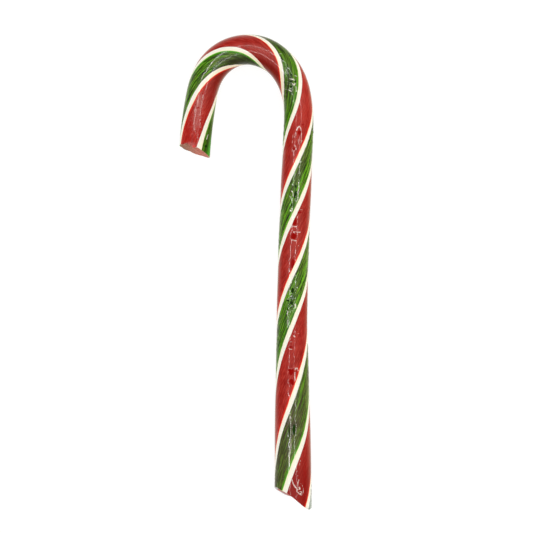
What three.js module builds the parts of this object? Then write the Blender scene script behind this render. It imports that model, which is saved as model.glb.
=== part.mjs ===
// A candy cane: one stick of boiled sugar, twisted and bent into a crook while it
// was warm, then laid on its side to cool. Both of its ends are snapped, not moulded.
// Millimetres and degrees. The cane lies on the plane z = 0, with its stick along Y
// and its crook at +Y, open towards -X. A station is a length along the axis of the
// stick, from the broken tip of the crook (0) to the broken foot. An angle round the
// stick is 0 on top, and grows towards the right of someone who walks to the foot.

import * as THREE from 'three';
import { LoftGeometry } from 'three/addons/geometries/LoftGeometry.js';

// The stick: its length and its radius, which is a little larger at the tip, has a
// slight waist at the shoulder and flares towards the foot
const STICK_LENGTH = 203.5;
const STICK_RADIUS = 5.1;
const TIP_SWELL = { extra: 0.14, fades_by: 51 };
const SHOULDER_WAIST = { depth: 0.25, station: 71, reach: 14.3 };
const FOOT_FLARE = { extra: 1.04, from: 136.7, to: 195.3 };

// The crook: headings of the axis, clockwise from +X, and the stations between which
// it turns. Its short leg rises with a slight curl at the tip, and its shoulder comes
// down a little past straight.
const LEG_HEADING = -81;
const SHOULDER_HEADING = 92.35;
const FOOT_HEADING = 89.6;
const TIP_CURL = { extra: -5, fades_by: 17 };
const CROOK_TURN = { from: 17.5, to: 81, lead: 0.813 };
const SHAFT_TURN = { from: 107, to: 162.6 };

// The twist of the stripes, in degrees of turn for each millimetre of stick. It is
// loose at the tip, tightest on the crown of the crook and loose again at the foot.
const TWIST_START = 12.8;
const TIP_TWIST = 2.48;
const SHAFT_TWIST = 4.765;
const FOOT_TWIST = 3.55;
const TIP_TWIST_ENDS = 26;
const CROWN_TWIST = { extra: 2.1, station: 50.5, reach: 12.2 };
const FOOT_TWIST_SPAN = { from: 132.7, to: 172.7 };

// Going round, cream stripes part a red band, a green band, a red and a green again.
// Each coloured band is crowned by a hair between its two cream stripes.
const RED_TURN = 97.5;
const GREEN_TURN = 82.5;
const BAND_CROWN = 0.1;

// The underside: the warm stick settled by this much on the table that it cooled on
const SETTLED = 0.2;

// The snapped ends. Each break leans across the stick and from top to bottom, is
// warped, hollowed like a shell and rippled in arcs about the angle where it began.
// Chips at its rim, each at an angle, run along the stick by their depth.
const TIP_BREAK = {
  across: -0.34, upward: 0.12, warp: -0.04, hollow: 0.4,
  ripple: 0.07, spacing: 2.9, began: -80,
  chips: [
    { angle: 8, depth: 1.1, reach: 3.6 },
    { angle: -6, depth: -0.7, reach: 0.8 },
    { angle: -35, depth: 0.5, reach: 1.6 },
  ],
};
const FOOT_BREAK = {
  across: -0.61, upward: 0, warp: -0.21, hollow: -0.45,
  ripple: 0.1, spacing: 4.4, began: 100,
  chips: [
    { angle: -12, depth: -0.35, reach: 2.6 },
    { angle: -92, depth: -1, reach: 2 },
    { angle: 50, depth: 0.4, reach: 3.2 },
  ],
};
const BREAK_REACH = 14;
const LIP = 0.2;
const BREAK_SHARES = [0.96, 0.8, 0.6, 0.4, 0.2, 0.03];

// How finely the form is cut into faces
const RING_SPACING = 2;
const SIDES = 40;
const AXIS_STEP = 0.5;

const CANDY_RED = 0xab3a33;
const CANDY_ROUGHNESS = 0.15;

// Eases from 0 to 1 as its argument goes from 0 to 1
function ease(share) {
  const held = THREE.MathUtils.clamp(share, 0, 1);
  return held * held * (3 - 2 * held);
}

// A round bump of height 1 at a station, which has died out at about twice its reach
function bump(station, { station: middle, reach }) {
  return Math.exp(-(((station - middle) / reach) ** 2));
}

// How far a station has come through a span, from 0 to 1
function through(station, { from, to }) {
  return THREE.MathUtils.clamp((station - from) / (to - from), 0, 1);
}

function headingAt(station) {
  const tip = 1 - ease(station / TIP_CURL.fades_by);
  const crook = ease(through(station, CROOK_TURN) ** CROOK_TURN.lead);
  const shaft = ease(through(station, SHAFT_TURN));
  return LEG_HEADING
    + TIP_CURL.extra * tip
    + (SHOULDER_HEADING - LEG_HEADING) * crook
    + (FOOT_HEADING - SHOULDER_HEADING) * shaft;
}

function twistRateAt(station) {
  return TIP_TWIST
    + (SHAFT_TWIST - TIP_TWIST) * ease(station / TIP_TWIST_ENDS)
    + (FOOT_TWIST - SHAFT_TWIST) * ease(through(station, FOOT_TWIST_SPAN))
    + CROWN_TWIST.extra * bump(station, CROWN_TWIST);
}

function radiusAt(station) {
  return STICK_RADIUS
    + TIP_SWELL.extra * (1 - ease(station / TIP_SWELL.fades_by))
    - SHOULDER_WAIST.depth * bump(station, SHOULDER_WAIST)
    + FOOT_FLARE.extra * ease(through(station, FOOT_FLARE));
}

// Walks down the stick in short steps, adding up the way gone and the twist
function traceAxis() {
  const samples = [];
  const steps = Math.round(STICK_LENGTH / AXIS_STEP);
  let x = 0;
  let y = 0;
  let turn = TWIST_START;
  for (let step = 0; step <= steps; step += 1) {
    samples.push({ x, y, turn });
    const middle = (step + 0.5) * AXIS_STEP;
    const heading = THREE.MathUtils.degToRad(headingAt(middle));
    x += AXIS_STEP * Math.cos(heading);
    y -= AXIS_STEP * Math.sin(heading);
    turn += AXIS_STEP * twistRateAt(middle);
  }
  return samples;
}

// A place on the axis, and the turn of the stripes there. Past either end the axis
// runs on straight, because the breaks reach a little beyond the stick's length.
function axisAt(samples, station) {
  const last = samples.length - 2;
  const index = THREE.MathUtils.clamp(Math.floor(station / AXIS_STEP), 0, last);
  const share = station / AXIS_STEP - index;
  const before = samples[index];
  const after = samples[index + 1];
  return {
    x: before.x + (after.x - before.x) * share,
    y: before.y + (after.y - before.y) * share,
    turn: before.turn + (after.turn - before.turn) * share,
  };
}

// Height of the coloured bands between their cream stripes, at an angle on the skin
function bandCrown(turn, angle) {
  const pair = RED_TURN + GREEN_TURN;
  const round = THREE.MathUtils.euclideanModulo(turn - angle, pair);
  const share = round < RED_TURN ? round / RED_TURN : (round - RED_TURN) / GREEN_TURN;
  return BAND_CROWN * 0.5 * (1 - Math.cos(2 * Math.PI * share));
}

// How far a point of a section is from the skin at an angle, seen along the stick
function fromSkin(right, up, angle) {
  const turned = THREE.MathUtils.degToRad(angle);
  return Math.hypot(right - STICK_RADIUS * Math.sin(turned), up - STICK_RADIUS * Math.cos(turned));
}

// How far a break lies beyond its end's square cut, at a place on the section.
// "right" and "up" are millimetres from the axis, "share" is 0 on it and 1 at the skin.
function breakShift(form, right, up, share) {
  const arcs = fromSkin(right, up, form.began) / form.spacing;
  let shift = form.across * right
    + form.upward * up
    + form.warp * right * up / STICK_RADIUS
    + form.hollow * (1 - share * share)
    + form.ripple * Math.sin(2 * Math.PI * arcs);
  for (const chip of form.chips) {
    shift += chip.depth * Math.exp(-((fromSkin(right, up, chip.angle) / chip.reach) ** 2));
  }
  return shift;
}

// The station of a point of a ring. Rings near an end lean over with its break.
function leaningStation(station, right, up, share) {
  const nearTip = 1 - ease(station / BREAK_REACH);
  const nearFoot = ease((station - STICK_LENGTH + BREAK_REACH) / BREAK_REACH);
  return station
    + nearTip * breakShift(TIP_BREAK, right, up, share)
    + nearFoot * breakShift(FOOT_BREAK, right, up, share);
}

// One point of the cane: at a station, an angle and a share of the way to the skin.
// The axis runs one radius above the table, less what the stick settled, and what
// would reach below the table is flat on it.
function canePoint(samples, station, angle, share) {
  const radius = radiusAt(station);
  const turned = THREE.MathUtils.degToRad(angle);
  const right = radius * share * Math.sin(turned);
  const up = radius * share * Math.cos(turned);
  const leant = leaningStation(station, right, up, share);
  const axis = axisAt(samples, leant);
  const heading = THREE.MathUtils.degToRad(headingAt(leant));
  const swell = 1 + bandCrown(axis.turn, angle) / radius;
  return new THREE.Vector3(
    axis.x - right * swell * Math.sin(heading),
    axis.y - right * swell * Math.cos(heading),
    Math.max(radius - SETTLED + up * swell, 0),
  );
}

function caneRing(samples, station, share) {
  const ring = [];
  for (let side = 0; side < SIDES; side += 1) {
    ring.push(canePoint(samples, station, 360 * side / SIDES, share));
  }
  return ring;
}

// Rings from the middle of the tip's break out to its lip, down the skin of the
// stick, and in again to the middle of the foot's break
function caneRings() {
  const samples = traceAxis();
  const rings = [];
  for (const share of [...BREAK_SHARES].reverse()) {
    rings.push(caneRing(samples, 0, share));
  }
  const steps = Math.round((STICK_LENGTH - 2 * LIP) / RING_SPACING);
  for (let step = 0; step <= steps; step += 1) {
    const station = LIP + (STICK_LENGTH - 2 * LIP) * step / steps;
    rings.push(caneRing(samples, station, 1));
  }
  for (const share of BREAK_SHARES) {
    rings.push(caneRing(samples, STICK_LENGTH, share));
  }
  return rings;
}

function makeCane() {
  const geometry = new LoftGeometry(caneRings(), { closed: true, capStart: true, capEnd: true });
  geometry.computeBoundingBox();
  const middle = geometry.boundingBox.getCenter(new THREE.Vector3());
  geometry.translate(-middle.x, -middle.y, -geometry.boundingBox.min.z);
  const material = new THREE.MeshStandardMaterial({
    color: CANDY_RED,
    roughness: CANDY_ROUGHNESS,
    metalness: 0,
  });
  const cane = new THREE.Mesh(geometry, material);
  cane.name = 'candy_cane';
  return cane;
}

const group = new THREE.Group();
group.add(makeCane());

export default group;
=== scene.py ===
# %% [markdown]
# # A candy cane
# A candy cane is one stick of boiled sugar. Red, green and cream ropes of candy are laid
# side by side while they are soft, rolled into one round stick, twisted, and bent into a
# crook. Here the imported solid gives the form, and this script makes its finish: a fine
# surface of the same form, with the small dents of handling, and a glossy striped sugar.
#
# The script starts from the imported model. Lengths below are in millimetres and angles in
# degrees until the mesh is made, because a confectioner would measure them so.

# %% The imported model
import math

import bpy
import numpy as np
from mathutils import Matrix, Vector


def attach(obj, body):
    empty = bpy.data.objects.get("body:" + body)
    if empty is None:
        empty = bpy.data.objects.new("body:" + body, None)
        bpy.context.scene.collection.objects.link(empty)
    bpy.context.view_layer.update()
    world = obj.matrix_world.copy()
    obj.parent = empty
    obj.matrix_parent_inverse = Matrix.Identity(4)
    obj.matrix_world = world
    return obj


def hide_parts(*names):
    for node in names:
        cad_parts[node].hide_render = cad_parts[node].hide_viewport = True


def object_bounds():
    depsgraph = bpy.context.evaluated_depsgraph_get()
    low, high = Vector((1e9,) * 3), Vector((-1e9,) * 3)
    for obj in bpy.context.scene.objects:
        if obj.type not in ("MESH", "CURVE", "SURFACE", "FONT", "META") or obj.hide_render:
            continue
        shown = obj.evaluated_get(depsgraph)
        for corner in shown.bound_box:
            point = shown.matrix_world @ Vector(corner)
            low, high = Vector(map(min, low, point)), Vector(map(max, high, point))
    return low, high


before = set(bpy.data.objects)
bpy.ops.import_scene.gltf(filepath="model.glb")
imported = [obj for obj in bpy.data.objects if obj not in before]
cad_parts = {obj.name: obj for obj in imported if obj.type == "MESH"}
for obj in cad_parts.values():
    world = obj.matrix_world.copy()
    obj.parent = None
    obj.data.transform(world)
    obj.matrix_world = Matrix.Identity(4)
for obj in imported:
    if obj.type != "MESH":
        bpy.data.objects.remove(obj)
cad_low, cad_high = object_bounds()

MM = 0.001
CM3 = 1e-6
print("packed solid, mm:", [round(side / MM, 2) for side in cad_high - cad_low])

# %% [markdown]
# ## The stick's own measures
# The stick is described along its length. A station is the way walked along its middle
# line from the broken tip of the crook, and an angle round it is 0 on top and grows
# towards the walker's right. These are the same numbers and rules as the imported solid
# has, so that the fine surface lies on it. A curve object with a bevel could give the
# bend too, but not the snapped ends or the twist, so the form is worked out as arrays.

# %% Small rules that everything uses
STICK_LENGTH = 203.5
STICK_RADIUS = 5.1
TIP_SWELL, TIP_SWELL_END = 0.14, 51
WAIST_DEPTH, WAIST_STATION, WAIST_REACH = 0.25, 71, 14.3
FOOT_FLARE, FLARE_START, FLARE_END = 1.04, 136.7, 195.3


def ease(share):
    """3 t^2 - 2 t^3 with t held between 0 and 1: a soft start and a soft stop."""
    held = np.clip(share, 0, 1)
    return held * held * (3 - 2 * held)


def through(station, start, end):
    """How far a station has come from start to end, from 0 to 1."""
    return np.clip((station - start) / (end - start), 0, 1)


def bump(station, middle, reach):
    """e to the minus ((station - middle) / reach) squared: a round rise of height 1."""
    return np.exp(-((station - middle) / reach) ** 2)


def radius_at(station):
    """The radius, plus a swelling that fades from the tip, less a waist at the shoulder,
    plus the flare of the foot."""
    swelling = TIP_SWELL * (1 - ease(station / TIP_SWELL_END))
    waist = WAIST_DEPTH * bump(station, WAIST_STATION, WAIST_REACH)
    flare = FOOT_FLARE * ease(through(station, FLARE_START, FLARE_END))
    return STICK_RADIUS + swelling - waist + flare


print("radius at tip, shoulder and foot:",
      [round(float(radius_at(s)), 2) for s in (0, WAIST_STATION, STICK_LENGTH)])

# %% The bend of the crook and the twist of the stripes
LEG_HEADING, SHOULDER_HEADING, FOOT_HEADING = -81, 92.35, 89.6
TIP_CURL, TIP_CURL_END = -5, 17
CROOK_START, CROOK_END, CROOK_LEAD = 17.5, 81, 0.813
SHAFT_START, SHAFT_END = 107, 162.6
TIP_TWIST, SHAFT_TWIST, FOOT_TWIST = 2.48, 4.765, 3.55
TIP_TWIST_END, FOOT_TWIST_START, FOOT_TWIST_END = 26, 132.7, 172.7
CROWN_TWIST, CROWN_STATION, CROWN_REACH = 2.1, 50.5, 12.2
TWIST_START = 12.8
AXIS_STEP = 0.05
OVERRUN = 12


def heading_at(station):
    """Which way the middle line runs, clockwise from +X: up the short leg with a slight
    curl, round the crown, and down the shaft."""
    curl = TIP_CURL * (1 - ease(station / TIP_CURL_END))
    crook = ease(through(station, CROOK_START, CROOK_END) ** CROOK_LEAD)
    shaft = ease(through(station, SHAFT_START, SHAFT_END))
    return (LEG_HEADING + curl + (SHOULDER_HEADING - LEG_HEADING) * crook
            + (FOOT_HEADING - SHOULDER_HEADING) * shaft)


def twist_rate_at(station):
    """Degrees of turn for each millimetre: loose at both ends and tight on the crown."""
    leg = TIP_TWIST + (SHAFT_TWIST - TIP_TWIST) * ease(station / TIP_TWIST_END)
    foot = (FOOT_TWIST - SHAFT_TWIST) * ease(through(station, FOOT_TWIST_START, FOOT_TWIST_END))
    return leg + foot + CROWN_TWIST * bump(station, CROWN_STATION, CROWN_REACH)


def walk():
    """Adds up short steps along the heading, and the twist on the way. The line starts
    before the tip and ends past the foot, as the snapped ends lean over both."""
    stations = np.arange(-OVERRUN, STICK_LENGTH + OVERRUN, AXIS_STEP)
    middles = stations[:-1] + AXIS_STEP / 2
    heading = np.radians(heading_at(middles))
    x = np.append(0, np.cumsum(AXIS_STEP * np.cos(heading)))
    y = np.append(0, np.cumsum(-AXIS_STEP * np.sin(heading)))
    turn = np.append(0, np.cumsum(AXIS_STEP * twist_rate_at(middles)))
    tip = [np.interp(0, stations, line) for line in (x, y, turn)]
    return stations, x - tip[0], y - tip[1], turn - tip[2] + TWIST_START


stations, axis_x, axis_y, axis_turn = walk()
print("stripes turn", round(float(np.interp(STICK_LENGTH, stations, axis_turn)) / 360, 2), "times")

# %% [markdown]
# ## The snapped ends
# Boiled sugar is a glass, and it breaks like one. Each break leans, is slightly hollow and
# carries ripples in arcs about the place where the crack began. Chips are missing at its
# rim. A boolean cut would leave a flat face, so the rings of the stick are leant over
# near each end by a function of the place on the section instead.

# %% How far a break lies beyond the end's square cut
TIP_BREAK = dict(across=-0.34, upward=0.12, warp=-0.04, hollow=0.4, ripple=0.07, spacing=2.9,
                 began=-80, chips=[(8, 1.1, 3.6), (-6, -0.7, 0.8), (-35, 0.5, 1.6)])
FOOT_BREAK = dict(across=-0.61, upward=0, warp=-0.21, hollow=-0.45, ripple=0.1, spacing=4.4,
                  began=100, chips=[(-12, -0.35, 2.6), (-92, -1, 2), (50, 0.4, 3.2)])
BREAK_REACH = 14
SMALL_RIPPLE, SMALL_SPACING = 0.022, 0.83


def from_skin(right, up, angle):
    """Distance, in the section, from a point of the skin at an angle."""
    turned = math.radians(angle)
    return np.hypot(right - STICK_RADIUS * math.sin(turned), up - STICK_RADIUS * math.cos(turned))


def break_shift(form, right, up, share):
    """A slant each way, a warp, a hollow that falls off with the square of the share,
    sine ripples in the distance from where the crack began, and a round chip at each
    named angle, depth and reach."""
    crack = from_skin(right, up, form["began"])
    shift = (form["across"] * right + form["upward"] * up
             + form["warp"] * right * up / STICK_RADIUS
             + form["hollow"] * (1 - share ** 2)
             + form["ripple"] * np.sin(2 * np.pi * crack / form["spacing"])
             + SMALL_RIPPLE * np.sin(2 * np.pi * crack / SMALL_SPACING))
    for angle, depth, reach in form["chips"]:
        shift = shift + depth * np.exp(-(from_skin(right, up, angle) / reach) ** 2)
    return shift


# %% [markdown]
# ## The skin's relief
# Each coloured band stands a hair proud of the cream stripes beside it. The hands that
# rolled the stick left long shallow waves, the pulling left fine ridges that run with the
# stripes, and bending the warm stick crinkled its skin. They are hardly seen as shape, but
# every highlight breaks up on them, so they belong in the mesh. Noise in a bump node could
# do it, but would leave the outline and the exported mesh dead straight.

# %% Crown, waves, ridges and crinkles
RED_TURN, GREEN_TURN = 97.5, 82.5
PAIR_TURN = RED_TURN + GREEN_TURN
BAND_CROWN = 0.1
HAND_WAVES = dict(count=14, height=0.03, lengths=(14, 46), orders=(-3, 4))
CRINKLES = dict(count=44, height=0.05, lengths=(1.4, 4.0), orders=(-22, 23))
RIDGES = dict(count=24, height=0.007, lengths=(20, 60), orders=(14, 30))
# The crinkles' strength away from the crinkled places, their share on red and cream, and
# the degrees over which the green rope takes them up
EVERYWHERE, ON_ALL_ROPES, GREEN_FADE = 0.25, 0.3, 12
rolled = np.random.default_rng(24)


def band_crown(turn, angle):
    """A raised cosine across each coloured band, nothing at the cream stripes."""
    place = np.mod(turn - angle, PAIR_TURN)
    share = np.where(place < RED_TURN, place / RED_TURN, (place - RED_TURN) / GREEN_TURN)
    return BAND_CROWN * 0.5 * (1 - np.cos(2 * np.pi * share))


def waves(station, angle, count, height, lengths, orders):
    """A sum of cosines, each with its own length along the stick, whole number of turns
    round it, and start, all drawn with a fixed seed."""
    total = 0
    for _ in range(count):
        length = rolled.uniform(*lengths)
        order = int(rolled.integers(*orders))
        start = rolled.uniform(0, 2 * np.pi)
        total = total + np.cos(2 * np.pi * station / length + order * np.radians(angle) + start)
    return total * height / math.sqrt(count)


# Where the skin is crinkled most: station, reach along and how much
CRINKLED = [(64, 4, 1.0), (83, 6, 0.8), (103, 6, 1.0), (117, 6, 0.4), (138, 9, 1.0),
            (152, 4, 0.5), (162, 4, 0.5), (199, 5, 0.6)]


def crinkle(station, angle, turn):
    """Long waves in the station and angle, crinkles that are strong in green and at a few
    places along the stick, and ridges that follow the stripes. All in mm."""
    place = np.mod(turn - angle, PAIR_TURN)
    green = ease((place - RED_TURN) / GREEN_FADE) * ease((PAIR_TURN - place) / GREEN_FADE)
    amount = EVERYWHERE + sum(much * bump(station, middle, reach) for middle, reach, much in CRINKLED)
    hands = waves(station, angle, **HAND_WAVES)
    crinkles = waves(station, angle, **CRINKLES)
    ridges = waves(station, turn - angle, **RIDGES)
    return hands + crinkles * amount * (ON_ALL_ROPES + (1 - ON_ALL_ROPES) * green) + ridges


# %% [markdown]
# ## The marks of handling
# Sugar that is nearly set keeps every touch. A tool or a burst bubble leaves a pit with a
# flat dull bottom and a steep wall, and the pit is painted darker as shade. A scratch pushes
# up a thin welt, and a white glint is painted along its crest. Where the stick was rubbed, a
# thin pale film lies on the skin, its paleness partly a painted sheen. Such marks sit where
# they happened, so each has its own station and angle round the stick. Random dots would
# look like a rash instead.

# %% Pits, welts and rubbed places
# A pit: station, angle, half its length along, half its width round, slant, depth
PITS = [
    (110.4, 0, 1.3, 0.7, 0, 0.1), (115.2, 2, 1.15, 0.95, 0, 0.14), (124.5, 2, 1.9, 0.6, 0, 0.1),
    (160.9, 3, 1.2, 0.75, 14, 0.12), (164.1, 3, 0.85, 0.7, -16, 0.12), (160.3, 10, 0.5, 0.5, 0, 0.1),
    (164.9, -1, 0.5, 0.45, 0, 0.1), (152.5, 5, 0.3, 0.7, 0, 0.08), (107.1, -18, 0.3, 0.8, 0, 0.07),
    (80.3, -4, 0.8, 0.6, 0, 0.1), (85.9, 15, 0.55, 0.5, 0, 0.12), (77.6, -16, 0.25, 0.5, 0, 0.08),
    (180.2, -4, 2, 0.45, 0, 0.1), (181, 12, 2.6, 0.22, 0, 0.06), (101.2, 2, 1.5, 0.4, 12, 0.08),
    (133.5, 0, 0.9, 0.55, 0, 0.09), (137.7, 2, 0.6, 0.5, 0, 0.08), (62.6, 5, 0.3, 1, -14, 0.1),
    (60.6, -7, 0.5, 0.3, 8, 0.06), (63.2, -11, 0.4, 0.35, 0, 0.06),
    (64.3, 12, 0.3, 0.7, 0, 0.08), (98.4, 2, 0.6, 0.3, 0, 0.07), (104.8, 16, 0.6, 0.3, 0, 0.07),
    (136.9, 17, 0.3, 0.6, 0, 0.06), (2, 44, 0.5, 0.6, 0, 0.08),
    (15.6, -15, 0.3, 0.2, 0, 0.05), (14.6, -8, 0.25, 0.25, 0, 0.05),
    (14.8, -2, 0.35, 0.18, 0, 0.05), (19.8, 4, 0.7, 0.16, 0, 0.05),
]

# A welt: half its width, how white its painted glint is, and its stations and angles
WELTS_AND_GLINTS = [
    (0.26, 1.0, [(79.5, 7), (78.6, 3), (78.2, -3), (78.8, -8)]), (0.17, 0.65, [(80.6, 20), (84, 23)]),
    (0.18, 0.85, [(78.8, -8), (80.6, -12), (83.6, -13)]), (0.18, 0.75, [(80, 10), (82.3, 7)]),
    (0.17, 0.65, [(82.4, 0), (84.4, 1)]), (0.17, 0.6, [(87.8, 4), (91.6, 9)]),
    (0.18, 0.75, [(80.4, 11), (81.1, 17), (82.3, 13)]), (0.17, 0.7, [(82.8, 23), (84.3, 19)]),
    (0.2, 0.9, [(84.6, 14), (84.9, 8), (86.1, 6)]), (0.17, 0.8, [(85.5, 23), (86.7, 21), (87, 16)]),
    (0.18, 0.75, [(82.7, -17), (83.9, -11)]), (0.17, 0.65, [(73.6, -6), (73.7, -13)]),
    (0.2, 1.0, [(111.8, 12), (112, -6)]), (0.2, 0.85, [(113.7, 4), (113.8, -9)]),
    (0.22, 1.0, [(113.8, -9), (113.8, -23)]), (0.17, 0.75, [(114, -11), (115.4, -14)]),
    (0.24, 1.0, [(116.5, 10), (116.7, -8)]), (0.18, 0.75, [(118.2, -16), (118.7, -23)]),
    (0.17, 0.62, [(122, -1), (122.1, -16)]), (0.17, 0.65, [(106.2, -19), (106.2, -29)]),
    (0.3, 1.0, [(148.7, -5), (149.1, -10)]), (0.18, 0.65, [(147.9, -15), (148.1, -27)]),
    (0.17, 0.8, [(150.6, 15), (150.8, 1)]), (0.2, 0.95, [(153.1, 12), (153.4, 0)]),
    (0.18, 0.85, [(161, -9), (164, -9)]),
    (0.2, 0.95, [(160.3, -10), (159.6, -13), (159.6, -18), (160.6, -21)]),
    (0.22, 0.95, [(99.9, 19), (100.2, 14), (101, 10), (101.8, 10)]),
    (0.17, 0.8, [(102.2, 13), (103.5, 12)]), (0.38, 0.7, [(101.8, 24), (102.2, 18)]),
    (0.24, 0.95, [(106.5, 19), (106.9, 16), (106.7, 12)]), (0.17, 0.75, [(105.2, 13), (106.8, 11)]),
    (0.22, 0.95, [(97, -9), (98.8, -11), (100.2, -8), (103, -8)]),
    (0.17, 0.7, [(103, -7), (104.8, -2)]), (0.2, 0.7, [(91.1, -10), (92.2, -9)]),
    (0.24, 0.68, [(57.5, -3), (58.6, 1), (60.1, -1)]), (0.26, 1.0, [(61.6, 5), (62, -1), (62.6, -8)]),
    (0.17, 0.85, [(64.5, 38), (65.5, 22)]), (0.29, 1.0, [(65.5, 22), (65.9, 16)]),
    (0.28, 1.0, [(63.5, 3), (64.2, -1), (63.8, -6)]), (0.24, 0.85, [(64.9, -6), (66.3, -3)]),
    (0.22, 0.9, [(61.4, -18), (61.9, -25)]), (0.2, 0.85, [(53.2, -25), (53.6, -31)]),
    (0.22, 0.9, [(133.4, 14), (133.6, 10), (135.1, 11)]), (0.17, 0.8, [(136.3, 23), (136.6, 9)]),
    (0.18, 0.85, [(139.5, 11), (143.9, 10)]), (0.2, 0.85, [(140.3, 21), (140.6, 17), (142.1, 19)]),
    (0.18, 0.8, [(142.6, 19), (146.1, 17)]), (0.34, 1.0, [(138.1, -11), (139.3, -13)]),
    (0.2, 0.7, [(128.2, -12), (129.6, -10)]), (0.17, 0.9, [(178.4, -11), (181.4, -10)]),
    (0.17, 0.85, [(175.3, 8), (177, 5), (184, 5), (187, 7)]),
    (0.2, 1.0, [(187, 7), (189, 11), (192.9, 11)]),
    (0.22, 1.0, [(197, 4), (198.4, 0), (199.4, -5)]), (0.27, 0.85, [(199.4, -5), (200.1, -11)]),
    (0.2, 0.95, [(200.1, -11), (201.2, -13), (201.9, -19)]), (0.24, 1.0, [(201.9, -19), (202.3, -26)]),
    (0.18, 0.9, [(202.3, -26), (202, -31), (200.7, -34)]), (0.17, 0.7, [(200.7, -34), (199.1, -30)]),
    (0.24, 0.85, [(197.2, -18), (198.2, -15)]), (0.18, 0.9, [(198.2, -15), (200.2, -13)]),
    (0.3, 1.0, [(199.7, -20), (200.4, -21)]), (0.17, 0.9, [(200.4, -21), (200.6, -14)]),
    (0.18, 0.95, [(201.2, -21), (201.2, -27), (201.8, -29), (201.8, -22)]),
    (0.17, 0.75, [(198.3, -23), (199, -29), (199.9, -32)]), (0.22, 0.7, [(195.3, -7), (195.8, -15)]),
    (0.29, 0.6, [(194.1, -13), (194.5, -14)]), (0.25, 0.62, [(190.6, -24), (192.2, -21)]),
    (0.22, 0.62, [(4.2, 13), (4.7, 7), (6.6, -4)]),
    (0.23, 0.68, [(6.6, -4), (9.3, -12), (12.1, -13), (15.4, -17)]),
    (0.2, 0.7, [(7.9, 16), (10.7, 9), (13.2, 5)]),
    (0.18, 0.62, [(13.2, 5), (16.9, 6), (19.2, 6), (21.1, 0)]),
    (0.29, 0.85, [(4.4, 45), (6, 50)]), (0.25, 0.75, [(24.2, -15), (26, -14)]),
    (0.2, 0.8, [(26.6, -10), (28.8, -10), (31.9, -14)]),
    (0.17, 0.68, [(31.9, -14), (36, -11), (38, -9)]),
]

# A rubbed place, its film partly painted sheen: station, angle, reach along, reach round, how strong
RUBBED_AND_SHEEN = [(9, -1, 3, 1.0, 0.4), (13.4, -4, 2.6, 0.9, 0.75), (17.2, -5, 2.6, 1.0, 1.15),
          (30.8, 5, 6, 0.5, 0.3), (45.2, -10, 5, 0.5, 0.5), (49.2, -1, 5, 1.2, 0.35),
          (33.9, -13, 4, 0.4, 0.5), (58.8, -1, 1.6, 0.5, 0.5), (1.2, -12, 1.6, 1.4, 0.8),
          (2.1, -26, 0.7, 1.7, 0.95), (11, -8, 7, 2.6, 0.42), (205, -77, 3.6, 1.7, 1.8)]

# A welt's height, and how many halves of its width it reaches from its line
WELT_HEIGHT = 0.03
WELT_SPREAD = 1.5

# Where the stick is bent, and the angles of its inner side, where shade is painted
BENT_FROM, BENT_FULLY, STRAIGHTENING, STRAIGHT = 8, 28, 58, 74
INNER_FROM, INNER_FULLY, INNER_FADING, INNER_END = 0, 40, 130, 170


def on_skin(station, angle, middle, top, slant=0):
    """Millimetres forward and sideways of a place on the skin, turned by a slant."""
    forward = station - middle
    aside = np.radians(np.mod(angle - top + 180, 360) - 180) * STICK_RADIUS
    turned = math.radians(slant)
    return (forward * math.cos(turned) + aside * math.sin(turned),
            aside * math.cos(turned) - forward * math.sin(turned))


def pits(station, angle):
    """A pit's depth falls off as e to the minus (share of its reach to the fourth). Also
    returns how far inside a pit a place is: 1 in its middle and a half at its edge."""
    deep, inside = 0, 0
    for middle, top, along, around, slant, depth in PITS:
        forward, aside = on_skin(station, angle, middle, top, slant)
        share = np.hypot(forward / along, aside / around)
        deep = deep + depth * np.exp(-share ** 4)
        inside = np.maximum(inside, 1 - share / 2)
    return deep, np.clip(inside, 0, 1)


def welts_and_glints(station, angle):
    """How near a place is to a welt's line: the whiteness of its painted glint in the middle,
    and a third of that at the welt's edge. The distance to a straight stretch is to its nearest point."""
    nearest = 0
    for half, white, line in WELTS_AND_GLINTS:
        for (start, start_angle), (end, end_angle) in zip(line[:-1], line[1:]):
            forward, aside = on_skin(station, angle, start, start_angle)
            run, rise = end - start, math.radians(end_angle - start_angle) * STICK_RADIUS
            along = np.clip((forward * run + aside * rise) / (run ** 2 + rise ** 2), 0, 1)
            off = np.hypot(forward - along * run, aside - along * rise)
            nearest = np.maximum(nearest, white * (1 - off / (half * WELT_SPREAD)))
    return np.clip(nearest, 0, 1)


def rubbed_and_sheen(station, angle):
    """The sum of round soft patches, each e to the minus the squared share of its reach."""
    total = 0
    for middle, top, along, around, much in RUBBED_AND_SHEEN:
        forward, aside = on_skin(station, angle, middle, top)
        total = total + much * np.exp(-(forward / along) ** 2 - (aside / around) ** 2)
    return np.clip(total, 0, 1)


def painted_bend_shade(station, angle):
    """Rises from the top of the stick to the inner side of its bend, where it is bent:
    there shade is painted, with deeper colours and yellower cream."""
    bent = ease(through(station, BENT_FROM, BENT_FULLY))
    bent = bent * (1 - ease(through(station, STRAIGHTENING, STRAIGHT)))
    aside = np.mod(angle + 180, 360) - 180
    inner = ease(through(aside, INNER_FROM, INNER_FULLY))
    return bent * inner * (1 - ease(through(aside, INNER_FADING, INNER_END)))


def relief(station, angle, turn):
    """The crinkled skin, less its pits, plus its welts."""
    deep, _ = pits(station, angle)
    return crinkle(station, angle, turn) - deep + WELT_HEIGHT * ease(welts_and_glints(station, angle))


# %% [markdown]
# ## From measures to a surface
# The whole cane is one grid: rings down the stick, and a share of the way from the middle
# line to the skin, which is 1 on the skin and falls to 0 across each break. The stick
# settled by a fifth of a millimetre on the table that it cooled on, so what would reach
# below the table is flat.

# %% The cane as a function of station, angle and share
SETTLED = 0.2


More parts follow.
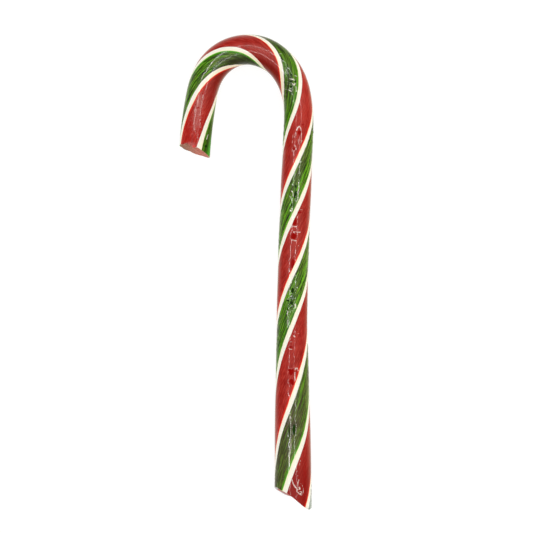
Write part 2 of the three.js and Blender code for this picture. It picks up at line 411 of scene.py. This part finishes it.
def cane_points(station, angle, share, fine=True):
    """Goes right and up from the middle line by the radius times the share, at the angle,
    swollen by the crown and, where it is fine, the relief. Near an end the ring leans over
    with the break. Returns the place, its station and the turn of the stripes less the
    angle."""
    radius = radius_at(station)
    turned = np.radians(angle)
    right = radius * share * np.sin(turned)
    up = radius * share * np.cos(turned)
    near_tip = 1 - ease(station / BREAK_REACH)
    near_foot = ease((station - STICK_LENGTH + BREAK_REACH) / BREAK_REACH)
    leant = (station + near_tip * break_shift(TIP_BREAK, right, up, share)
             + near_foot * break_shift(FOOT_BREAK, right, up, share))
    turn = np.interp(leant, stations, axis_turn)
    heading = np.radians(heading_at(leant))
    proud = band_crown(turn, angle)
    if fine:
        proud = proud + relief(station, angle, turn)
    swell = 1 + proud / radius
    x = np.interp(leant, stations, axis_x) - right * swell * np.sin(heading)
    y = np.interp(leant, stations, axis_y) - right * swell * np.cos(heading)
    z = np.maximum(radius - SETTLED + up * swell, 0)
    return np.stack([x, y, z], axis=-1), leant, turn - angle


# %% The grid of rings
SIDES = 120
SKIN_RINGS = 735
LIP = 0.06
BREAK_SHARES = np.array([0.995, 0.985, 0.97, 0.95, 0.92, 0.88, 0.83, 0.78, 0.73, 0.68, 0.62, 0.56,
                         0.5, 0.44, 0.38, 0.32, 0.26, 0.2, 0.14, 0.07])

skin = np.linspace(LIP, STICK_LENGTH - LIP, SKIN_RINGS)
caps = len(BREAK_SHARES)
ring_station = np.concatenate([np.zeros(caps), skin, np.full(caps, STICK_LENGTH)])[:, None]
ring_share = np.concatenate([BREAK_SHARES[::-1], np.ones(SKIN_RINGS), BREAK_SHARES])[:, None]
side_angle = (180 + 360 * np.arange(SIDES) / SIDES)[None, :]
rings = len(ring_station)

points, leant, stripe = cane_points(ring_station, side_angle, ring_share)
plain, _, _ = cane_points(ring_station, side_angle, ring_share, fine=False)
plain_low, plain_high = plain.min(axis=(0, 1)), plain.max(axis=(0, 1))
middle_of_cad = np.array(cad_low + cad_high) / 2 / MM
shift = middle_of_cad - (plain_low + plain_high) / 2
shift[2] = cad_low[2] / MM - plain_low[2]
print("grid", rings, "rings of", SIDES, "- plain box, mm:", np.round(plain_high - plain_low, 2))

# %% [markdown]
# ## Putting the surface into a mesh
# The breaks close at one middle point each. Two things go along with the points. One is an
# attribute that says where a point sits in the twisted stick: the share times the cosine
# and sine of its angle among the ropes of candy, and its station. A material can find the
# stripes from it exactly, wherever the stick bends. The other is an unrolled map, two
# rows of skin and two round breaks, on which the finish can be baked evenly.

# %% Points, faces and the stripes' attribute
def ring_faces():
    """Each square joins a side of a ring to the same side of the next ring. The last side
    joins the first. Fans of triangles close the two breaks."""
    side = np.arange(SIDES)
    after = (side + 1) % SIDES
    first = np.arange(rings - 1)[:, None] * SIDES
    quads = np.stack([first + side, first + after, first + SIDES + after, first + SIDES + side], -1)
    last = (rings - 1) * SIDES
    tip_pole, foot_pole = rings * SIDES, rings * SIDES + 1
    tip = np.stack([np.full(SIDES, tip_pole), after, side], -1)
    foot = np.stack([np.full(SIDES, foot_pole), last + side, last + after], -1)
    return quads.reshape(-1, 4), tip, foot


def marks_and_light_attribute():
    """How far inside a pit, how near to a welt, how rubbed, and how much painted shade of the
    bend each point has. Inside the breaks all four are 0."""
    angle = np.broadcast_to(side_angle, leant.shape)
    _, inside = pits(leant, angle)
    grid = np.stack([inside, welts_and_glints(leant, angle), rubbed_and_sheen(leant, angle), painted_bend_shade(leant, angle)], -1)
    grid = np.where(ring_share[..., None] < 1, 0, grid).reshape(-1, 4)
    return np.concatenate([grid, np.zeros((2, 4))])


def stick_attribute():
    """Share times cosine and sine of the stripe angle, then the station along the stick."""
    turned = np.radians(stripe)
    share = np.broadcast_to(ring_share, turned.shape)
    grid = np.stack([share * np.cos(turned), share * np.sin(turned), leant], -1).reshape(-1, 3)
    poles = [[0, 0, leant[0].mean()], [0, 0, leant[-1].mean()]]
    return np.concatenate([grid, poles])


quads, tip_fan, foot_fan = ring_faces()
places = (points + shift).reshape(-1, 3)
poles = np.stack([(points[0] + shift).mean(axis=0), (points[-1] + shift).mean(axis=0)])
places = np.concatenate([places, poles]) * MM

# %% The unrolled map
ROW_HEIGHT, ROW_GAP = 0.4, 0.015
EDGE = 0.006
DISC = 0.075


def row_places():
    """Skin rings run along two rows of the map, and the sides climb across each row."""
    half = SKIN_RINGS // 2
    ring = np.arange(SKIN_RINGS - 1)
    second = ring >= half
    start = np.where(second, ring - half, ring)
    count = half + 1
    u = EDGE + (1 - 2 * EDGE) * np.stack([start, start + 1], -1) / count
    base = EDGE + np.where(second, ROW_HEIGHT + ROW_GAP, 0)
    side = np.arange(SIDES)
    v = np.stack([side, side + 1], -1) / SIDES * ROW_HEIGHT
    corners = np.empty((SKIN_RINGS - 1, SIDES, 4, 2))
    for corner, (along, across) in enumerate([(0, 0), (0, 1), (1, 1), (1, 0)]):
        corners[:, :, corner, 0] = u[:, along][:, None]
        corners[:, :, corner, 1] = base[:, None] + v[:, across][None, :]
    return corners


def disc_places(shares, centre):
    """A break is mapped as it is seen: a ring's share is its distance from the centre."""
    turned = np.radians(side_angle[0])
    turned = np.stack([turned, np.roll(turned, -1)], -1)
    corners = np.empty((len(shares) - 1, SIDES, 4, 2))
    for corner, (ring, side) in enumerate([(0, 0), (0, 1), (1, 1), (1, 0)]):
        reach = DISC * (shares[:-1] if ring == 0 else shares[1:])[:, None]
        corners[:, :, corner, 0] = centre + reach * np.cos(turned[:, side])[None, :]
        corners[:, :, corner, 1] = 1 - EDGE - DISC + reach * np.sin(turned[:, side])[None, :]
    return corners


def fan_places(share, centre, flipped):
    """The triangles round the middle of a break."""
    turned = np.radians(side_angle[0])
    after = np.roll(turned, -1)
    pair = (after, turned) if flipped else (turned, after)
    corners = np.empty((SIDES, 3, 2))
    corners[:, 0] = (centre, 1 - EDGE - DISC)
    for corner, spin in enumerate(pair, start=1):
        corners[:, corner, 0] = centre + DISC * share * np.cos(spin)
        corners[:, corner, 1] = 1 - EDGE - DISC + DISC * share * np.sin(spin)
    return corners


TIP_CENTRE, FOOT_CENTRE = 0.1, 0.3
shares_in = np.append(BREAK_SHARES[::-1], 1)
shares_out = np.append(1, BREAK_SHARES)
unrolled = np.concatenate([
    disc_places(shares_in, TIP_CENTRE).reshape(-1, 2),
    row_places().reshape(-1, 2),
    disc_places(shares_out, FOOT_CENTRE).reshape(-1, 2),
    fan_places(BREAK_SHARES[-1], TIP_CENTRE, True).reshape(-1, 2),
    fan_places(BREAK_SHARES[-1], FOOT_CENTRE, False).reshape(-1, 2),
])
print("corners on the unrolled map:", len(unrolled))

# %% The mesh itself
def cane_mesh():
    """The points and faces, with the two attributes and the unrolled map."""
    mesh = bpy.data.meshes.new("striped_cane")
    faces = quads.tolist() + tip_fan.tolist() + foot_fan.tolist()
    mesh.from_pydata(places.tolist(), [], faces)
    stick = mesh.attributes.new("stick", "FLOAT_VECTOR", "POINT")
    stick.data.foreach_set("vector", stick_attribute().astype(np.float32).ravel())
    marks_and_painted_light = mesh.attributes.new("marks_and_painted_light", "FLOAT_COLOR", "POINT")
    marks_and_painted_light.data.foreach_set("color", marks_and_light_attribute().astype(np.float32).ravel())
    unroll = mesh.uv_layers.new(name="OFBake")
    unroll.data.foreach_set("uv", unrolled.astype(np.float32).ravel())
    mesh.polygons.foreach_set("use_smooth", np.ones(len(faces), bool))
    mesh.update()
    return mesh


def volume(corner_places, triangles):
    """A sixth of the sum of triple products, which is positive where faces point out."""
    a, b, c = (corner_places[triangles[:, k]] for k in range(3))
    return np.einsum("ij,ij->i", a, np.cross(b, c)).sum() / 6


halves = np.concatenate([quads[:, [0, 1, 2]], quads[:, [0, 2, 3]], tip_fan, foot_fan])
sugar_held = volume(places, halves)
print("faces point out:", sugar_held > 0, "- cm3:", round(sugar_held / CM3, 2),
      "- triangles:", len(halves))
cane = bpy.data.objects.new("striped_cane", cane_mesh())
bpy.context.scene.collection.objects.link(cane)

# %% [markdown]
# ## Wiring a material as sums
# A finish is a recipe of masks and mixes. Written as node calls it is hard to read, so one
# small class wraps a socket and lets Python's own operators add the Math nodes. Any other
# node comes from one method that takes its type, its settings and what its sockets get.

# %% A socket that can be added and multiplied
class Wire:
    """One output of a material's node. Sums with it add Math nodes to the material."""

    def __init__(self, tree, socket=None):
        self.tree = tree
        self.socket = socket

    def node(self, kind, settings=None, sockets=None):
        """Adds a node: its settings first, then values or wires for its sockets."""
        made = self.tree.nodes.new(kind)
        for name, value in (settings or {}).items():
            setattr(made, name, value)
        for name, value in (sockets or {}).items():
            if isinstance(value, Wire):
                self.tree.links.new(value.socket, made.inputs[name])
            else:
                made.inputs[name].default_value = value
        return made

    def wire(self, kind, settings=None, sockets=None, output=0):
        """Adds a node and takes one of its outputs."""
        return Wire(self.tree, self.node(kind, settings, sockets).outputs[output])

    def split(self, vector):
        """The three numbers of a vector, each as a wire."""
        parts = self.node("ShaderNodeSeparateXYZ", None, {0: vector})
        return [Wire(self.tree, socket) for socket in parts.outputs]

    def math(self, operation, *values, clamp=False):
        """Adds a Math node on values or wires."""
        sockets = dict(enumerate(values))
        return self.wire("ShaderNodeMath", {"operation": operation, "use_clamp": clamp}, sockets)

    def __add__(self, other):
        return self.math("ADD", self, other)

    def __sub__(self, other):
        return self.math("SUBTRACT", self, other)

    def __rsub__(self, other):
        return self.math("SUBTRACT", other, self)

    def __mul__(self, other):
        return self.math("MULTIPLY", self, other)

    def __truediv__(self, other):
        return self.math("DIVIDE", self, other)

    def __pow__(self, other):
        return self.math("POWER", self, other)

    def __abs__(self):
        return self.math("ABSOLUTE", self)

    __radd__ = __add__
    __rmul__ = __mul__

    def held(self):
        """The value, held between 0 and 1."""
        return self.math("ADD", self, 0, clamp=True)

    def least(self, other):
        """The smaller of two values."""
        return self.math("MINIMUM", self, other)

    def most(self, other):
        """The larger of two values."""
        return self.math("MAXIMUM", self, other)


# %% Spreading, mixing and painting
MIX_FACTOR, MIX_A, MIX_B, MIX_RESULT = 0, 6, 7, 2


def spread(value, low, high):
    """0 at low, 1 at high, and straight between them."""
    return ((value - low) / (high - low)).held()


def mix(bench, factor, one, other):
    """Paints other over one, as far as the factor says."""
    return bench.wire("ShaderNodeMix", {"data_type": "RGBA"},
                      {MIX_FACTOR: factor, MIX_A: one, MIX_B: other}, MIX_RESULT)


def paint(red, green, blue):
    """A colour as a printer's 0 to 255 numbers, turned into the light that it sends back
    by the usual rule of screens: a power of 2.4, with a straight foot for dark colours."""
    shares = np.array([red, green, blue]) / 255
    low = shares / 12.92
    high = ((shares + 0.055) / 1.055) ** 2.4
    return (*np.where(shares <= 0.04045, low, high), 1.0)


def coats(bench, colour, layers):
    """Paints layers over a colour, one after another: each is a mask and what it lays on."""
    for mask, laid in layers:
        colour = mix(bench, mask, colour, laid if isinstance(laid, Wire) else paint(*laid))
    return colour


# %% [markdown]
# ## Which rope of candy a point belongs to
# Going round, cream parts a red band of 97 degrees, a green band of 83, and the same
# again. The stripe angle is found from the attribute with an arctangent, and a little
# noise along the stick lets the seams wander as they do where hands laid the ropes. Just
# before the foot the red rope was pinched, so its seams step inwards there.

# %% Where a point is in the stick
candy = bpy.data.materials.new("striped_candy")
candy.use_nodes = True
candy.node_tree.nodes.clear()
bench = Wire(candy.node_tree)

stick = bench.wire("ShaderNodeAttribute", {"attribute_name": "stick"}, output="Vector")
rope_x, rope_y, station = bench.split(stick)
share = (rope_x * rope_x + rope_y * rope_y) ** 0.5


def pulled(across, lengthwise, detail=2.0, roughness=0.5):
    """Noise between about 0.2 and 0.8, with its scale across the stick and its scale along
    it. Where the second is small, the noise is pulled out into long threads."""
    scales = (across, across, lengthwise)
    place = bench.wire("ShaderNodeVectorMath", {"operation": "MULTIPLY"}, {0: stick, 1: scales})
    return bench.wire("ShaderNodeTexNoise", None,
                      {"Vector": place, "Scale": 1.0, "Detail": detail, "Roughness": roughness})


def along(start, full, fading=None, end=None):
    """Rises from 0 at the start station to 1 at the full one. Where two more stations are
    given, it falls again from the third to the fourth."""
    rise = spread(station, start, full)
    return rise if end is None else rise * spread(station, end, fading)


# %% The seams
# Degrees round the stick, and for the pinch the stations along it
HALF_TURN = PAIR_TURN / 2
WANDER = 3.0
CREAM_HALF, CREAM_WAVER, TIP_WIDENING = 8.7, 2.4, 1.8
SEAM = 1.1
PINCHED = (168, 177, 182, 191)
PINCH_CREAM, PINCH_FIRST, PINCH_SECOND = 1.2, 4.5, 2.5

wander = pulled(0.8, 0.16) - 0.5
turned = bench.math("ARCTAN2", rope_y, rope_x) * math.degrees(1) + wander * WANDER
place = bench.math("WRAP", turned, PAIR_TURN, 0.0)

pinch = along(*PINCHED)
half_width = CREAM_HALF + (pulled(1.5, 0.3, 1) - 0.5) * CREAM_WAVER
half_width = half_width + along(7, 1) * TIP_WIDENING - pinch * PINCH_CREAM
first_seam, second_seam = pinch * PINCH_FIRST, RED_TURN - pinch * PINCH_SECOND

across_first = bench.math("WRAP", place - first_seam + HALF_TURN, PAIR_TURN, 0.0) - HALF_TURN
across_second = place - second_seam
from_first, from_second = abs(across_first), abs(across_second)
near_second = bench.math("LESS_THAN", from_second, from_first)
cream_across = across_first + (across_second - across_first) * near_second
cream_mask = ((half_width - from_first.least(from_second)) / SEAM + 0.5).held()
green_mask = bench.math("GREATER_THAN", place, float(RED_TURN))

# Degrees from a place in each band to the cream before it and after it
red_from_last = place - first_seam - half_width
red_to_next = second_seam - place - half_width
green_from_last = place - second_seam - half_width
green_to_next = PAIR_TURN + first_seam - place - half_width

# %% What the mesh knows of each point
marks_and_painted_light = bench.node("ShaderNodeAttribute", {"attribute_name": "marks_and_painted_light"})
in_pit, welt_glint, film_and_sheen = bench.split(Wire(bench.tree, marks_and_painted_light.outputs["Vector"]))
bend_shade = Wire(bench.tree, marks_and_painted_light.outputs["Alpha"])
object_place = bench.wire("ShaderNodeTexCoord", output="Object")
table_x, _, above_table = bench.split(object_place)
print("wires for the stripes and the wear:", len(candy.node_tree.nodes), "nodes")

# %% [markdown]
# ## The colours of the red rope
# Pulled sugar is streaked, because air and dye are drawn out into threads that run with
# the stripes. Wood-grain textures give straight threads only, so noise is stretched along
# the stick in its own coordinates. Each colour is then built as a painter in glazes would,
# from a ground and thin coats: a mask says where a coat lies and how thick it is.

# %% Red
threads = pulled(12, 0.09, 3, 0.6)
wide_threads = pulled(4.5, 0.06)
fine_threads = pulled(20, 0.5)
clouds = pulled(1.6, 0.18, 3)

RED_THIN, RED_THICK = 9, 4
red_coats = [
    # Air drawn out into paler threads, and clouds of thicker sugar
    (spread(threads, 0.5, 0.72) * 0.45, (182, 56, 46)),
    (spread(clouds, 0.52, 0.72) * 0.6, (138, 12, 8)),
    # The clearer leg of the crook, and the fresher shoulder
    (along(34, 16) * 0.7, (174, 24, 16)),
    (along(56, 63, 74, 84) * 0.6, (184, 46, 38)),
    # Fine streaks, pale and dark
    (spread(fine_threads, 0.5, 0.66) * 0.45, (198, 72, 62)),
    (spread(fine_threads, 0.5, 0.34) * 0.6, (130, 12, 8)),
    # Painted shade inside the bend, and thick in the flared foot
    (bend_shade * 0.8, (118, 14, 8)),
    (along(182, 197) * 0.8, (136, 8, 5)),
    # Thin and bright beside the next cream, thick and dark beside the last
    ((1 - red_to_next / RED_THIN).held() ** 1.1, (232, 36, 8)),
    ((1 - red_from_last / RED_THICK).held() * 0.6, (146, 20, 22)),
]
red_ground = mix(bench, spread(wide_threads, 0.35, 0.65), paint(154, 24, 16), paint(168, 34, 26))
red = coats(bench, red_ground, red_coats)
print("red:", len(red_coats), "coats")

# %% [markdown]
# ## The colours of the green rope
# The green rope shows its threads most: bright green over olive, with brownish grey ones
# near its first seam. On the crown and in the foot the brown spreads, as the dye tired
# where the sugar was worked longest. One noise for all the threads would line them up, so
# the bright, brown and dark ones each have their own.

# %% The green rope's threads
bright_threads = spread(pulled(10, 0.1, 3, 0.6), 0.52, 0.57)
brown_threads = spread(pulled(6.5, 0.05), 0.43, 0.52)
dark_threads = spread(pulled(11, 0.12, 3, 0.6), 0.52, 0.56)
flecks = pulled(16, 0.3, 1)

tired = along(158, 178) + along(28, 38, 46, 54)
far_side = spread(green_to_next, 4, 44)
brown_zone = far_side * 0.45 + tired * 0.6 + spread(clouds, 0.35, 0.65) * 0.45 - 0.3
brown = mix(bench, tired * 0.8, paint(96, 86, 56), paint(64, 56, 42))

# %% Green
GREEN_THIN, GREEN_THICK = 10, 3.5
ON_SHAFT = (54, 62, 160, 170)
thin_edge = (1 - green_to_next / GREEN_THIN).held() ** 1.6
thin_edge = thin_edge * along(4, 18) * (1 - along(*ON_SHAFT) * 0.6)
vivid = spread(green_from_last, 42, 22) * along(11, 1.5) * (0.6 + 0.4 * bright_threads)

green_coats = [
    # The worn olive ground, and the three kinds of threads
    (tired * far_side * 0.9, (56, 62, 34)),
    (bright_threads * (1 - tired * far_side * 0.6) * 0.95, (108, 186, 14)),
    ((brown_zone * brown_threads).held() * 0.9, brown),
    (dark_threads * (0.95 - tired * 0.45), (18, 36, 2)),
    # Short flecks, pale and dark
    (spread(flecks, 0.54, 0.62) * 0.4, (130, 168, 50)),
    (spread(flecks, 0.46, 0.38) * 0.5, (40, 50, 12)),
    # Browner in the foot, and deeper on the shoulder and low on the shaft
    (along(160, 178) * 0.36, (84, 66, 52)),
    ((along(44, 56, 76, 84) + along(136, 144, 158, 166)) * 0.2, (26, 54, 10)),
    # Painted shade inside the bend, and dark at the tip
    (bend_shade * 0.85, (42, 44, 24)),
    (along(15, 8) * 0.55, (40, 62, 8)),
    # Thin beside the next cream, thick beside the last, and clear at the tip's rim
    (thin_edge, (84, 184, 12)),
    ((1 - green_from_last / GREEN_THICK).held() * 0.8, (30, 46, 14)),
    (vivid, (66, 178, 26)),
]
green_ground = mix(bench, spread(wide_threads, 0.42, 0.56), paint(46, 86, 4), paint(70, 124, 5))
green = coats(bench, green_ground, green_coats)
print("green:", len(green_coats), "coats")

# %% [markdown]
# ## Cream, and the three side by side
# The cream ropes are full of air, so they hide what is under them and need few coats. They
# are painted whiter low on the stick, where light reaches them off the table, and yellower
# inside the bend as painted shade. They are yellower too along the edge that lies over the
# coloured rope before them, and their other edge is a little cooler.

# %% Cream, and all three together
LOW_ON_STICK = (0.0096, 0.0055)
cream_coats = [
    # Painted light: whiter low on the stick, where light comes off the table
    (spread(above_table, *LOW_ON_STICK), (255, 253, 240)),
    # Painted shade: yellower inside the bend
    (bend_shade * 0.6, (240, 222, 190)),
    (spread(cream_across, -2, -8) * 0.8, (250, 238, 200)),
    (spread(cream_across, 6, 9) * 0.5, (236, 230, 236)),
]
cream_ground = mix(bench, spread(pulled(22, 0.2), 0.4, 0.6), paint(242, 240, 227), paint(247, 245, 236))
cream = coats(bench, cream_ground, cream_coats)
skin_colour = mix(bench, cream_mask, mix(bench, green_mask, red, green), cream)
print("cream:", len(cream_coats), "coats")

# %% [markdown]
# ## Colouring the marks
# The mesh carries how near each point is to a pit or a welt, and a threshold turns that
# into an edge. On its own it would be as smooth as a moulding, so noise is added before
# the threshold and the edges come out ragged, as sugar breaks. Cream hides nearly all of
# the marks. The pits are painted darker as shade, the welts' crests white as painted
# glints, and the rubbed film pale, partly as painted sheen. At the tip a tongue of clear
# red was dragged over the rim.

# %% Painted pit shade, welt glints, rubbed film with painted sheen, and the tongue
TONGUE_X, TONGUE_Y, TONGUE_STATION, TONGUE_NARROW = 0.93, 0.37, 1.5, 26
ragged = pulled(11, 2.2) - 0.5
pit_shade_mask = spread(in_pit + ragged * 0.3, 0.46, 0.58) * (1 - cream_mask)
welt_glint_mask = spread(welt_glint + ragged * 0.4, 0.4, 0.85) * (1 - cream_mask * 0.9)
speckles = 0.4 + 0.6 * spread(pulled(14, 6), 0.44, 0.56)
film_sheen_mask = spread(film_and_sheen + ragged * 1.3, 0.2, 1.0) * (1 - cream_mask)
film_sheen_mask = film_sheen_mask * (0.6 + 0.35 * green_mask) * speckles
from_tongue = ((rope_x - TONGUE_X) ** 2 * TONGUE_NARROW + (rope_y - TONGUE_Y) ** 2 * TONGUE_NARROW
               + (station - TONGUE_STATION) ** 2)

skin_colour = coats(bench, skin_colour, [
    (spread(from_tongue, 0.5, 0.2), (214, 34, 28)),
    # Rubbed film, pale partly as painted sheen; at the foot's edge its grey-blue is a painted
    # reflection
    (film_sheen_mask, mix(bench, green_mask, paint(186, 128, 124), paint(206, 218, 214))),
    # Painted shade: the pits are darker, deep red on red and dark green on green
    (pit_shade_mask, mix(bench, green_mask, paint(146, 4, 0), paint(24, 52, 6))),
    # Painted glints: the welts' crests are painted white
    (welt_glint_mask * 0.92, (250, 238, 232)),
])

# %% [markdown]
# ## The broken ends
# Under the skin the stick has a pinkish core that breaks dull and grainy, with the
# coloured skin as a thin rim. At the tip it is browner on the outer side of the crook. At
# the foot a pale blue-grey highlight is painted on the break near its rim, where the rim
# catches the light. The core could be a mesh of its own, but it is one piece of sugar, so
# the share of the way to the skin masks it.

# %% The core
BROWNED_FROM, BROWNED_TO = -0.0165, -0.0205
core_noise = pulled(9, 3, 4, 0.65)
rim_highlight = spread(share, 0.83, 0.88) * along(150, 160)
core_coats = [
    (spread(table_x, BROWNED_FROM, BROWNED_TO), (148, 108, 86)),
    (spread(core_noise, 0.48, 0.6) * 0.7, (144, 84, 68)),
    (spread(core_noise, 0.5, 0.4) * 0.6, (214, 146, 126)),
    # Painted highlight on the rim of the foot's break
    (rim_highlight * 0.9, (200, 198, 210)),
]
core = coats(bench, paint(204, 116, 98), core_coats)

# The tip's rim is torn, which moves the edge of the core there, but never onto the skin
torn = ragged * spread(share, 0.999, 0.985) * along(40, 20)
core_mask = spread(share + torn * 0.4, 0.985, 0.955)
colour = mix(bench, core_mask, skin_colour, core)

# %% [markdown]
# ## The gloss
# The skin is glossy, but not a mirror, because sugar takes up a little moisture. A clear
# coat over a duller ground does that with one shader. The coat is nearly gone from pits,
# film and breaks, thinner on cream, and worn where the stick was handled: at both ends,
# on the shoulder, and low on the shaft outside its green.

# %% Roughness, coat and fine bump
SKIN_ROUGH, CORE_ROUGHER, PIT_ROUGHER = 0.25, 0.3, 0.6
FULL_COAT, CREAM_LACKS, GREEN_LACKS = 0.95, 0.6, 0.08
BUMP_HEIGHT = 0.00003

rough = SKIN_ROUGH + core_mask * CORE_ROUGHER + pit_shade_mask * PIT_ROUGHER
dulled = along(17, 8) * 0.75 + along(186, 197) * 0.5 + along(70, 74, 84, 87) * 0.5
dulled = dulled + along(132, 142, 170, 178) * (1 - green_mask) * 0.4
coat = (FULL_COAT - cream_mask * CREAM_LACKS - green_mask * GREEN_LACKS) * (1 - dulled)
for mask, removed in [(pit_shade_mask, 0.95), (core_mask, 0.9), (film_sheen_mask, 0.75), (vivid * green_mask, 0.8)]:
    coat = coat * (1 - mask * removed)

sugar = bench.wire("ShaderNodeTexNoise", None,
                   {"Vector": object_place, "Scale": 900.0, "Detail": 3.0, "Roughness": 0.5})
height = threads * 0.6 + wide_threads * 0.8 + sugar * (0.6 - green_mask * 0.35)
bumped = bench.wire("ShaderNodeBump", None,
                    {"Strength": 0.5, "Distance": BUMP_HEIGHT, "Height": height})

shader = bench.wire("ShaderNodeBsdfPrincipled", None, {
    "Base Color": colour, "Roughness": rough, "Normal": bumped, "IOR": 1.5,
    "Specular IOR Level": 0.05, "Coat Weight": coat, "Coat Roughness": 0.06, "Coat IOR": 1.5,
})
bench.node("ShaderNodeOutputMaterial", None, {"Surface": shader})
cane.data.materials.append(candy)
print("candy material:", len(candy.node_tree.nodes), "nodes")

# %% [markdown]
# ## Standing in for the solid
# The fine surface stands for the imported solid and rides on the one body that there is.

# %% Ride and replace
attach(cane, "root")
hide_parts("candy_cane")

# %% [markdown]
# ## Floor, light and camera
# The cane lies on a white table. Most of the table's brightness is its own glow, so that
# the cane's sides stay light and its shadow stays faint. A square of soft strip lights
# round the lens makes the two thin lines that run down the candy. Four dim panels low at
# the sides and one overhead light it without showing in its gloss. What the gloss mirrors
# instead is the sky: a dim wall all round, brighter overhead and underfoot, and lighter
# and warmer towards +X.

# %% The table
TABLE_HALF = 3.0
TABLE_GREY, TABLE_GLOW = 0.16, 0.9


def floor_mesh(half):
    """One square about the origin, in the plane z = 0."""
    mesh = bpy.data.meshes.new("table")
    mesh.from_pydata([(-half, -half, 0), (half, -half, 0), (half, half, 0), (-half, half, 0)], [],
                     [(0, 1, 2, 3)])
    return mesh


def floor_material():
    """A matt grey that also glows, so that it is nearly white even in the cane's shadow."""
    material = bpy.data.materials.new("table_white")
    material.use_nodes = True
    material.node_tree.nodes.clear()
    tools = Wire(material.node_tree)
    matt = tools.wire("ShaderNodeBsdfPrincipled", None, {
        "Base Color": (TABLE_GREY, TABLE_GREY, TABLE_GREY, 1), "Roughness": 0.9,
        "Specular IOR Level": 0.0, "Emission Color": (1, 1, 1, 1), "Emission Strength": TABLE_GLOW,
    })
    tools.node("ShaderNodeOutputMaterial", None, {"Surface": matt})
    return material


table = bpy.data.objects.new("table", floor_mesh(TABLE_HALF))
bpy.context.scene.collection.objects.link(table)
table.data.materials.append(floor_material())
table.visible_glossy = False
print("table:", 2 * TABLE_HALF, "m wide")

# %% Lights
LIGHT_HEIGHT = 1.2
STRIP, LONG = 0.022, 0.95
PANEL_SIZE, PANEL_DISTANCE, LOW, OVERHEAD = 0.9, 1.3, 28, 88

# Angles off straight up across and along the table, two sizes and the radiance
STRIPS = [
    ("left_strip", -22, 4, STRIP, LONG, 46),
    ("right_strip", 17, 4, STRIP, LONG, 28),
    ("upper_strip", -2, 28, LONG, STRIP, 24),
    ("lower_strip", -2, -16, LONG, STRIP, 24),
]
# Direction round from +X, angle above the table and radiance
PANELS = [
    ("right_panel", 0, LOW, 2.4),
    ("upper_panel", 90, LOW, 1.5),
    ("left_panel", 180, LOW, 2.3),
    ("lower_panel", 270, LOW, 1.2),
    ("ceiling_panel", 0, OVERHEAD, 1.15),
]


def lamp(name, place, rotation, size_x, size_y, radiance):
    """A rectangle of light that the lens doesn't see. Its power is its radiance times pi
    times its area."""
    data = bpy.data.lights.new(name, "AREA")
    data.shape = "RECTANGLE"
    data.size, data.size_y = size_x, size_y
    data.energy = radiance * math.pi * size_x * size_y
    made = bpy.data.objects.new(name, data)
    made.location = place
    made.rotation_euler = rotation
    made.visible_camera = False
    bpy.context.scene.collection.objects.link(made)
    return made


def strip_light(name, across, lengthwise, size_x, size_y, radiance):
    """A strip that faces the cane from its two angles off straight up. It is for the
    gloss alone."""
    lean_x, lean_y = math.radians(across), math.radians(lengthwise)
    place = (LIGHT_HEIGHT * math.tan(lean_x), LIGHT_HEIGHT * math.tan(lean_y), LIGHT_HEIGHT)
    made = lamp(name, place, (-lean_y, lean_x, 0), size_x, size_y, radiance)
    made.visible_diffuse = False


def panel(name, direction, elevation, radiance):
    """A large dim square that faces the cane. It lights but isn't mirrored in the gloss."""
    turn, lift = math.radians(direction), math.radians(elevation)
    level = PANEL_DISTANCE * math.cos(lift)
    place = (level * math.cos(turn), level * math.sin(turn), PANEL_DISTANCE * math.sin(lift))
    made = lamp(name, place, (0, math.pi / 2 - lift, turn), PANEL_SIZE, PANEL_SIZE, radiance)
    made.visible_glossy = False


for strip in STRIPS:
    strip_light(*strip)
for square in PANELS:
    panel(*square)
print("lights:", len(STRIPS), "strips and", len(PANELS), "panels")

# %% The sky
WALL_LEVEL, RIGHT_WALL, CEILING_LEVEL, UNDERFOOT, SEEN_LEVEL = 0.14, 0.12, 0.56, 0.7, 0.9
CEILING_FROM, CEILING_FULL, CEILING_LEAN = 0.48, 0.84, 0.06
UNDER_FROM, UNDER_FULL = 0.05, -0.7
WARM_FROM, WARM_FULL = 0.2, 0.9
PALE, WARM = (1, 0.985, 0.88, 1), (1, 0.83, 0.58, 1)

world = bpy.data.worlds.new("studio")
world.use_nodes = True
world.node_tree.nodes.clear()
studio = Wire(world.node_tree)
ray = studio.wire("ShaderNodeTexCoord", output="Generated")
ray_x, _, ray_z = studio.split(ray)
ceiling = spread(ray_z + ray_x * CEILING_LEAN, CEILING_FROM, CEILING_FULL) * CEILING_LEVEL
below = spread(ray_z, UNDER_FROM, UNDER_FULL) * UNDERFOOT
walls = WALL_LEVEL + ray_x.most(0.0) * RIGHT_WALL + ceiling + below
seen = studio.wire("ShaderNodeLightPath", output="Is Camera Ray")
level = walls + seen * (SEEN_LEVEL - walls)
warmth = spread(ray_x, WARM_FROM, WARM_FULL) * (1 - seen)
tint = mix(studio, warmth, PALE, WARM)
background = studio.wire("ShaderNodeBackground", None, {"Color": tint, "Strength": level})
studio.node("ShaderNodeOutputWorld", None, {"Surface": background})
bpy.context.scene.world = world
print("sky:", len(world.node_tree.nodes), "nodes")

# %% Camera
# The width that is seen and its middle, at the height of the cane's outline
SEEN_WIDTH = 0.17989
SEEN_MIDDLE = (0.00675, 0.00177)
SILHOUETTE = 0.0052
LENS, SENSOR = 400, 36
NEAR, FAR = 0.1, 10

camera_data = bpy.data.cameras.new("camera")
camera_data.lens = LENS
camera_data.sensor_width = SENSOR
camera = bpy.data.objects.new("camera", camera_data)
camera.location = (*SEEN_MIDDLE, SILHOUETTE + SEEN_WIDTH * LENS / SENSOR)
bpy.context.scene.collection.objects.link(camera)
bpy.context.scene.camera = camera
camera_data.clip_start, camera_data.clip_end = NEAR, FAR
bpy.context.scene.view_settings.view_transform = "Standard"
print("camera height, m:", round(camera.location.z, 3))
